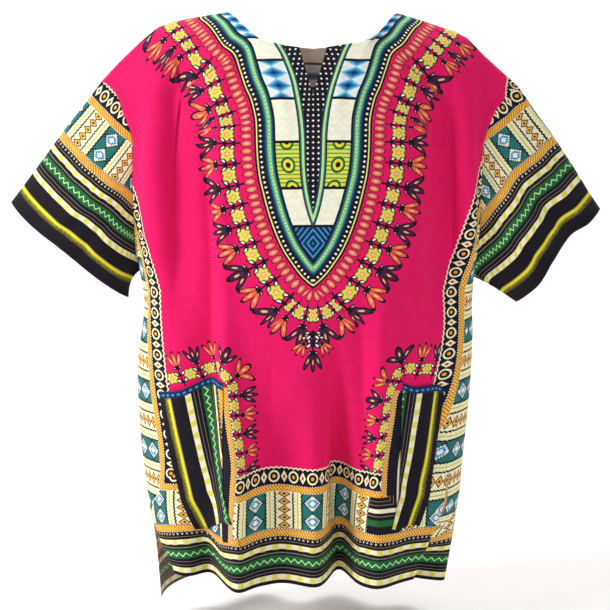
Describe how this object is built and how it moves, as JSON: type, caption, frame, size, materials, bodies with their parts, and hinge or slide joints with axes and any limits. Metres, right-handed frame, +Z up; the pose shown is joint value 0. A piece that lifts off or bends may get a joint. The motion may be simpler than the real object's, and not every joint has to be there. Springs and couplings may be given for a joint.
{
  "type": "dashiki shirt",
  "caption": "short-sleeved pullover shirt with a slit neck, drop shoulders, two patch pockets and side vents, filled out as if worn",
  "frame": {"origin": "on the centre plane at the height of the neck ends of the shoulder seams, where a hanger, bust or wearer holds the shirt", "axes": "+Z up, the front faces -Y, +X is the right of a viewer who faces the front"},
  "size_m": [0.804, 0.2404, 0.825],
  "materials": {
    "cotton_front": "matte",
    "cotton_back": "matte",
    "cotton_sleeves": "matte",
    "cotton_pockets": "matte"
  },
  "bodies": {
    "root": {"front": "cotton_front", "back": "cotton_back", "sleeve_left": "cotton_sleeves", "sleeve_right": "cotton_sleeves", "pocket_left": "cotton_pockets", "pocket_right": "cotton_pockets"}
  },
  "joints": []
}
